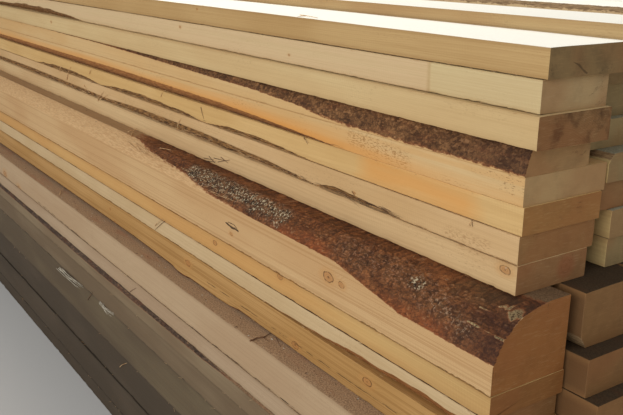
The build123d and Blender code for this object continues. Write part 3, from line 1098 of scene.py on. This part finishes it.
def paint_beam_bark(points, outwards, values):
    """The beam's bark: how far it reaches, its ledge, ridges, bare patch and colours."""
    def near(pixels, reach):
        path = [on_surface_of("bark_beam_09", pixel) for pixel in pixels]
        return closeness(points, path, reach * MM)

    def noisy(amount, strength, size, seed):
        noise_here = soft_noise(points, size * MM, seed)
        return np.clip(amount + strength * noise_here, 0, 1)

    low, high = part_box("bark_beam_09")
    from_end = high.x - points[:, 0]
    at_top = high.z - points[:, 2] < LEDGE_LEVEL_09
    top = at_top & (points[:, 1] < low.y + LEDGE_09)
    height = np.clip((points[:, 2] - high.z) / (45 * MM) + 1, 0, 1)
    reach = FULL_BARK_09 + (TOP_BARK_09 - FULL_BARK_09) * height
    drift = 0.3 * soft_noise(points, (0.09, 0.02, 0.02), 61)
    barked = np.clip((reach - from_end) / 0.22 + 0.5 + drift, 0, 1)
    values["bark"] = values["wane"] * barked
    ledge = top * np.clip((from_end - END_OF_LEDGE_09) / 0.06 + drift, 0, 1)
    # The ledge and the near end's top: grime, and painted shade from the package above; less of both
    # far from the end.
    ledge_and_end_top = top | (at_top & (from_end < END_OF_LEDGE_09))
    values["dirt"] = ledge_and_end_top * (0.9 - 0.5 * np.clip((from_end - 0.8) / 0.6, 0, 1))
    for key in ("bark", "wane"):
        values[key] = np.maximum(values[key], ledge * barked)
    for pixels in RIDGES_09:
        ridge = near(pixels, 5)
        ridge = np.clip(ridge * (1 + 0.5 * soft_noise(points, 9 * MM, 69)), 0, 1)
        points += outwards * (ridge * 2.2 * MM)[:, None]
        values["bark"] *= 1 - 0.9 * np.clip(ridge * 1.8 - 0.7, 0, 1)
        values["bare"] = np.maximum(values["bare"], ridge)
    patch = noisy(near(BARE_PATCH_09, 18) * 2 - 0.4, 0.8, 5, 71)
    values["bark"] *= 1 - patch
    values["bare"] = np.maximum(values["bare"], patch)
    values["shade"] = np.clip(1 - from_end / DARK_BARK_09 + drift, 0, 1) * ~top
    values["warmth"] = noisy(near(OLIVE_STRETCH_09, 45) * 1.3 - 0.1, 0.4, 20, 73) * values["bark"]
    values["red"] = noisy(near(RED_STRETCH_09, 32) * 1.2 - 0.1, 0.3, 25, 75)
    for pixels, reach, strength in FLECKS_09:
        cluster = noisy(near(pixels, reach) * 1.6 - 0.2, 0.5, 12, 77)
        values["flecks"] = np.maximum(values["flecks"], cluster * strength)


def paint_torn(node, points, outwards, values):
    """A place on a plank's side where the saw tore the wood."""
    pixels, reach, strength = TORN_PLACES[node]
    place = closeness(points, [on_side_of(node, pixel) for pixel in pixels], reach)
    values["torn"] = np.clip(place * 1.6, 0, 1) * strength


def paint_bark_04(points, outwards, values):
    """The bark of this plank is darker towards its near end."""
    from_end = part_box("plank_04")[1].x - points[:, 0]
    values["shade"] = np.clip(0.8 - from_end / 0.3, 0, 1)


def paint_orange_side(points, outwards, values):
    """The side of the plank that turns orange towards its lower edge, golden near its end."""
    low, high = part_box("plank_05")
    height = (points[:, 2] - low.z) / (high.z - low.z)
    from_end = high.x - points[:, 0]
    drift = 0.16 * soft_noise(points, (0.25, 0.03, 0.02), 81)
    rise = 0.95 + 0.5 * np.clip(from_end / 0.9, 0, 1)
    strength = 0.35 + 0.65 * np.clip(from_end / 0.55 - 0.2, 0, 1)
    depth = np.clip(rise - height * 1.6 + drift, 0, 1)
    values["orange"] = depth * strength * (points[:, 1] < low.y + 10 * MM)
    values["shade"] = np.clip(1.1 - (points[:, 2] - low.z) / (12 * MM), 0, 1)
    values["arris"] *= np.clip(from_end / 0.3 - 1.2, 0, 1)
    paint_torn("plank_05", points, outwards, values)


def paint_orange_top(points, outwards, values):
    """The orange of the plank above goes on below the joint."""
    path = [on_side_of("plank_06", pixel) for pixel in ORANGE_PATH_06]
    glow = closeness(points, path, 75 * MM)
    streaks = soft_noise(points, (0.09, 0.02, 0.009), 83)
    values["orange"] = np.clip(glow * 1.4 + 0.3 * streaks - 0.3, 0, 1) * 0.8
    low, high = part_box("plank_06")
    fades_in = np.clip((high.x - points[:, 0]) / 0.3 - 1.2, 0, 1)
    values["arris"] *= np.where(points[:, 2] > (low.z + high.z) / 2, fades_in, 1)


def paint_orange_10(points, outwards, values):
    """The board under the bark beam is yellow at its near end and turns orange away from it."""
    from_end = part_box("plank_10")[1].x - points[:, 0]
    drift = 0.2 * soft_noise(points, (0.2, 0.02, 0.02), 85)
    values["orange"] = np.clip(from_end / 0.5 - 0.3 + drift, 0, 1)


def flare_edge_12(points, outwards, values):
    """The lower edge stands out over the ledge where the wood swells beside a knot."""
    low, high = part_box("plank_12")
    flare = np.interp(high.x - points[:, 0], *zip(*FLARE_12)) * MM
    near_edge = np.exp(-((points[:, 2] - low.z) / (14 * MM)) ** 2)
    points[:, 1] -= flare * near_edge * (points[:, 1] < low.y + 40 * MM)


PLAIN = dict(along=(0.008, 0.03), fine=8 * MM, reach=12 * MM)
WANEY = dict(along=(0.006, 0.016), fine=2.6 * MM, reach=20 * MM)
TIGHT_NEAR_END = ((0, 0.1), (0.42, 0.1), (0.6, 1.0))
SETTINGS = {
    "plank_02": dict(WANEY, rounded=ROUNDED["plank_02"]),
    "plank_04": dict(along=(0.0024, 0.011), fine=2.4 * MM, reach=20 * MM, bark_until=1.75,
                     bark_thickness=3.0 * MM, seams=(TIGHT, EVEN), paint=paint_bark_04),
    "plank_05": dict(WANEY, paint=paint_orange_side, seams=(TIGHT_NEAR_END, TIGHT),
                     chips=0.6 * MM),
    "plank_06": dict(WANEY, wane_fur=2.2 * MM, seams=(EVEN, TIGHT_NEAR_END), chips=0.8 * MM,
                     rounded=ROUNDED["plank_06"], paint=paint_orange_top),
    "plank_07": dict(WANEY, wane_fur=3.0 * MM, rounded=ROUNDED["plank_07"],
                     paint=partial(paint_torn, "plank_07")),
    "plank_08": dict(PLAIN, paint=partial(paint_torn, "plank_08")),
    "bark_beam_09": dict(along=(0.0026, 0.012), fine=2.4 * MM, reach=0.1, wane_fur=0.25 * MM,
                         bark_thickness=3.2 * MM, paint=paint_beam_bark),
    "plank_10": dict(PLAIN, seams=(((0, 3.2), (0.98, 3.2), (1.03, 0.3)), EVEN),
                     paint=paint_orange_10),
    "plank_11": dict(WANEY, seams=(EVEN, ((0, 1.8), (0.98, 1.8), (1.03, 0.3))),
                     rounded=ROUNDED["plank_11"]),
    "plank_12": dict(WANEY, bark_until=9.0, paint=flare_edge_12),
    "plank_15": dict(WANEY, bark_until=9.0),
}
BEHIND = dict(along=(0.05, 0.2), fine=12 * MM, reach=16 * MM, coarse=0.05, both_sides=True)
DAMP_AND_SHADE_BELOW = 0.45            # share of the stack's height under which grime, wet and painted shade grow

for number, node in enumerate(NEAR_ROWS):
    share_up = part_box(node)[0].z / cad_box[1].z
    # Lower rows get more of the grey-brown patches: grime and wet, and painted shade towards the
    # ground.
    look = dict(LOOKS.get(node, DAMP_AND_SHADED_LOOK), damp=max(0.0, DAMP_AND_SHADE_BELOW - share_up) * 0.9)
    settings = dict(SETTINGS.get(node, PLAIN), **{})
    piece = planks_mesh(node + "_wood", solids_of(node), sawn_wood(node + "_finish", look),
                        number + 1, ((0.5, 0.0),), **settings)
    stand_for(piece, node)

# Rows behind. The second plank of a row has the tone and warmth that its end shows.
SECOND_TONES = {
    "plank_02": (0.4, 0.1), "plank_03": (0.4, 0.0), "plank_04": (1.0, 0.0),
    "plank_05": (0.5, 0.0), "plank_06": (0.35, 0.75), "plank_07": (0.75, 0.0),
    "plank_08": (0.8, 0.0), "bark_beam_09": (0.4, 0.3), "plank_10": (0.3, 0.35),
    "plank_11": (0.5, 0.4),
}
BEHIND_WOOD = {
    package: sawn_wood(package + "_behind_finish", look) for package, look in BEHIND_LOOKS.items()
}
PACKAGES = ((NEAR_ROWS.index("beam_13"), "lower"), (NEAR_ROWS.index("bark_beam_09"), "middle"),
            (1, "upper"), (0, "top"))

for number, node in enumerate(NEAR_ROWS):
    package = next(name for first, name in PACKAGES if number >= first)
    behind = node + "_row_behind"
    settings = BEHIND
    tones = (SECOND_TONES[node],) if node in SECOND_TONES else ()
    piece = planks_mesh(behind + "_wood", solids_of(behind), BEHIND_WOOD[package], number + 40,
                        tones, **settings)
    stand_for(piece, behind)


# Splinters, loose fibres and crumbs
SPLINTERED = 2.8             # metres of the near planks' arrises with splinters on them
SPLINTERS_PER_PLANK = 26
LITTERED = 2.9               # metres of the ledges with crumbs on them
CRUMB_SIZES = (1.5, 2, 2.5, 3, 5)
FIBRE_STEPS = 6              # straight pieces in a fibre laid between two pixels


def fibre(path, thickness, tip=0.25, sides=4):
    """A round fibre along a path, thinner towards its end: its points and faces."""
    path = np.array(path)
    ahead = np.gradient(path, axis=0)
    ahead /= np.linalg.norm(ahead, axis=1)[:, None] + 1e-12
    side = np.cross(ahead, (0.31, 0.17, 0.93))
    side /= np.linalg.norm(side, axis=1)[:, None] + 1e-12
    up = np.cross(ahead, side)
    radius = (thickness / 2 * np.linspace(1, tip, len(path)))[:, None, None]
    turn = (np.arange(sides) * math.tau / sides)[None, :, None]
    rings = path[:, None] + radius * (np.cos(turn) * side[:, None] + np.sin(turn) * up[:, None])
    points = rings.reshape(-1, 3)
    first, last = list(range(sides))[::-1], list(range(len(points) - sides, len(points)))
    return points, faces_of_rings(len(path), sides) + [first, last]


def curled_path(start, heading, length, curl, chance, steps=5):
    """A path that leaves in that heading and bends at random."""
    path, heading = [np.array(start)], np.array(heading, float)
    for _ in range(steps):
        heading = heading / np.linalg.norm(heading)
        path.append(path[-1] + heading * length / steps)
        heading = heading + curl * np.array([chance.gauss(0, 1) for _ in range(3)])
    return path


def crumb(place, size, chance):
    """A small angular bit of wood or bark."""
    corners = [(1, 0, 0), (-1, 0, 0), (0, 1, 0), (0, -1, 0), (0, 0, 1), (0, 0, -1)]
    shape = (chance.uniform(0.6, 1.8), chance.uniform(0.4, 1), chance.uniform(0.25, 0.6))
    points = [
        [place[axis] + size / 2 * shape[axis] * (corner[axis] + chance.uniform(-0.3, 0.3))
         for axis in range(3)]
        for corner in corners
    ]
    faces = [[0, 2, 4], [2, 1, 4], [1, 3, 4], [3, 0, 4], [2, 0, 5], [1, 2, 5], [3, 1, 5], [0, 3, 5]]
    return np.array(points), faces


def loose_finish(name, dark, light):
    """The finish of loose bits: two tones that drift along and between them."""
    material = new_material(name)
    position = add_node("ShaderNodeTexCoord", tree=material.node_tree)["Object"]
    tone = noise(position, scale=90, detail=3, roughness=0.6)
    body = mix(ramp(tone, 0.36, 0.64), dark, light)
    give_surface(material.node_tree, {"Base Color": body, "Roughness": 0.8})
    return material


def loose_piece(name, parts, material):
    """One piece of many loose parts."""
    piece = link_mesh(name, parts, {}, material)
    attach(piece, "root")


def on_stack(pixel):
    """Where a pixel of the photograph falls on the near planks."""
    ray = photo_ray(pixel).normalized()
    hits = [surface_of(node).ray_cast(camera_place, ray) for node in NEAR_ROWS]
    hits = [(distance, place) for place, _, _, distance in hits if place is not None]
    return min(hits, key=lambda hit: hit[0])[1]


def photo_fibre(first, last, lift, pixels_wide, chance):
    """A fibre between two pixels of the photograph, touching the planks at both ends."""
    start, finish = on_stack(first), on_stack(last)
    thickness = pixels_wide * (start - camera_place).length / FOCAL_PIXELS
    path = []
    for step in range(FIBRE_STEPS + 1):
        share = step / FIBRE_STEPS
        bow = lift * math.sin(math.pi * share) * chance.uniform(0.8, 1.2)
        path.append(np.array(start.lerp(finish, share)) + np.array([0, -bow - 0.4 * MM, 0.4 * bow]))
    return fibre(path, thickness, tip=0.5)


def arris_splinters(chance):
    """Fine splinters torn out along the arrises of the photographed side."""
    parts = []
    for node in NEAR_ROWS:
        low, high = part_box(node)
        for _ in range(SPLINTERS_PER_PLANK):
            x = high.x - SPLINTERED * chance.random() ** 1.4 - 0.02
            at_top = chance.random() < 0.35 or low.z < ARRIS
            z = high.z - 1.6 * MM if at_top else low.z + 1.6 * MM
            start = on_face_of(node, x, z) + Vector((0, 0.6 * MM, 0))
            heading = (chance.choice((-1, 1)), -chance.uniform(0.08, 0.4), chance.uniform(-0.5, 0.15))
            length = chance.uniform(5, 17) * MM
            parts.append(fibre(curled_path(start, heading, length, 0.18, chance),
                               chance.uniform(0.5, 0.9) * MM))
    return parts


def wane_fibres(node, from_end, to_end, height, count, chance):
    """Fibres and bast strips that lie along a wane."""
    low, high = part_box(node)
    parts = []
    for _ in range(count):
        x = high.x - chance.uniform(from_end, to_end)
        bottom, top = height
        start = on_face_of(node, x, low.z + chance.uniform(bottom, top)) - Vector((0, 0.5 * MM, 0))
        heading = (chance.choice((-1, 1)), chance.uniform(-0.05, 0.02), chance.uniform(-0.07, 0.07))
        parts.append(fibre(curled_path(start, heading, chance.uniform(15, 60) * MM, 0.05, chance),
                           chance.uniform(0.5, 1.3) * MM))
    return parts


def ledge_crumbs(node, ledge, count, chance):
    """Sawdust and bark crumbs on the part of a plank's top that stands out."""
    low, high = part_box(node)
    parts = []
    for _ in range(count):
        size = chance.choice(CRUMB_SIZES) * MM
        place = (high.x - LITTERED * chance.random() - 0.01, low.y + chance.uniform(3 * MM, ledge),
                 high.z + 0.1 * size)
        parts.append(crumb(place, size, chance))
    return parts


PALE_STRANDS = (
    ((98, 101), (104, 92)), ((100, 100), (108, 95)), ((67, 80), (71, 67)), ((178, 130), (181, 119)),
    ((128, 132), (139, 129)), ((131, 137), (137, 128)), ((160, 148), (171, 150)),
    ((304, 138), (309, 143)), ((300, 15), (318, 18)), ((296, 18), (306, 16)), ((90, 74), (93, 68)),
    ((161, 97), (166, 90)), ((62, 66), (60, 72)), ((84, 85), (90, 93)), ((60, 195), (64, 187)),
    ((155, 226), (164, 219)), ((470, 226), (474, 221)), ((120, 367), (127, 363)),
    ((136, 143), (150, 153)), ((140, 149), (160, 162)), ((150, 152), (176, 167)),
    ((144, 148), (158, 156)), ((137, 146), (146, 155)), ((128, 141), (140, 152)),
)
DARK_STRANDS = (
    ((204, 158), (214, 160)), ((206, 161), (216, 162)), ((209, 156), (215, 163)),
    ((214, 158), (226, 161)), ((218, 162), (230, 160)), ((221, 157), (228, 163)),
    ((304, 137), (308, 144)), ((472, 220), (473, 227)), ((165, 221), (155, 230)),
    ((276, 337), (281, 347)), ((262, 336), (270, 342)), ((201, 107), (204, 119)),
    ((352, 191), (355, 196)), ((88, 300), (93, 292)), ((130, 292), (136, 288)),
)
TWIG = (250, 341), (257, 338), (264, 337), (271, 333)
CHIP_ON_KNOT = (506, 268)
WHITE_BUNDLES = ((60, 269), (80, 287)), ((101, 303), (111, 315))
chance = random.Random(20)

pale_parts = arris_splinters(chance)
pale_parts += wane_fibres("plank_07", 0.6, 2.6, (1 * MM, 10 * MM), 90, chance)
pale_parts += wane_fibres("plank_06", 0.8, 2.5, (1 * MM, 6 * MM), 30, chance)
pale_parts += wane_fibres("bark_beam_09", 0.8, 1.7, (100 * MM, 122 * MM), 50, chance)
pale_parts += [photo_fibre(*pixels, 4 * MM, 0.8, chance) for pixels in PALE_STRANDS]
loose_piece("pale_splinters", pale_parts,
            loose_finish("splinter_finish", srgb(176, 134, 88), srgb(222, 188, 140)))

dark_parts = wane_fibres("plank_07", 0.6, 2.6, (0.5 * MM, 9 * MM), 110, chance)
dark_parts += wane_fibres("plank_07", 0.3, 0.56, (0.5 * MM, 10 * MM), 40, chance)
dark_parts += wane_fibres("plank_06", 0.8, 2.5, (0.5 * MM, 6 * MM), 50, chance)
dark_parts += wane_fibres("plank_05", 0.5, 2.6, (0.5 * MM, 4 * MM), 30, chance)
dark_parts += [photo_fibre(*pixels, 0.8 * MM, 0.7, chance) for pixels in DARK_STRANDS]
dark_parts.append(fibre([just_above("beam_13", pixel) for pixel in TWIG], 4.5 * MM))
dark_parts += ledge_crumbs("beam_13", 44 * MM, 160, chance)
dark_parts += ledge_crumbs("bark_beam_09", 80 * MM, 50, chance)
loose_piece("dark_fibres", dark_parts,
            loose_finish("bast_finish", srgb(70, 46, 30), srgb(116, 80, 52)))

white_parts = ledge_crumbs("beam_13", 44 * MM, 110, chance)
white_parts.append(crumb(on_stack(CHIP_ON_KNOT), 4 * MM, chance))
for first, last in WHITE_BUNDLES:
    for _ in range(8):
        shift = [chance.uniform(-2, 2) for _ in range(4)]
        start = (first[0] + shift[0] * 2, first[1] + shift[1])
        finish = (last[0] + shift[2] * 2, last[1] + shift[3])
        white_parts.append(photo_fibre(start, finish, 4 * MM, 0.6, chance))
loose_piece("white_splinters", white_parts,
            loose_finish("dry_splinter_finish", srgb(150, 138, 118), srgb(206, 198, 180)))


# Floor and light
def add_floor():
    half = 30
    mesh = bpy.data.meshes.new("floor")
    mesh.from_pydata([(-half, -half, 0), (half, -half, 0), (half, half, 0), (-half, half, 0)],
                     [], [(0, 1, 2, 3)])
    floor = bpy.data.objects.new("floor", mesh)
    bpy.context.scene.collection.objects.link(floor)
    material = new_material("pale_floor")
    give_surface(material.node_tree, {"Base Color": srgb(206, 205, 202), "Roughness": 0.9})
    mesh.materials.append(material)


def add_lamp(name, place, target, size, power, colour):
    lamp = bpy.data.lights.new(name, "AREA")
    lamp.shape = "RECTANGLE"
    lamp.size, lamp.size_y = size
    lamp.energy = power
    lamp.color = colour
    holder = bpy.data.objects.new(name, lamp)
    bpy.context.scene.collection.objects.link(holder)
    aim = (Vector(target) - Vector(place)).to_track_quat("-Z", "Y").to_matrix().to_4x4()
    holder.matrix_world = Matrix.Translation(place) @ aim


def add_world():
    world = bpy.data.worlds.new("studio")
    bpy.context.scene.world = world
    world.use_nodes = True
    tree = world.node_tree
    tree.nodes.clear()
    seen = add_node("ShaderNodeLightPath", tree=tree)["Is Camera Ray"]
    soft, white = [
        add_node("ShaderNodeBackground", {"Color": colour, "Strength": strength}, tree=tree)[0]
        for colour, strength in (((0.95, 0.97, 1.0, 1), 0.42), ((1, 1, 1, 1), 0.95))
    ]
    both = add_node("ShaderNodeMixShader", {0: seen, 1: soft, 2: white})[0]
    add_node("ShaderNodeOutputWorld", {"Surface": both})


add_camera()
add_floor()
add_world()
add_lamp("side_light", (2.7, -7.0, 3.6), (0.4, 0, 0.7), (8, 3.5), 325, (1.0, 0.97, 0.92))
add_lamp("top_light", (-1.0, 1.6, 5.0), (0, 0.2, 1.3), (3, 2), 200, (1.0, 0.98, 0.95))

bpy.context.scene.view_settings.view_transform = "Standard"
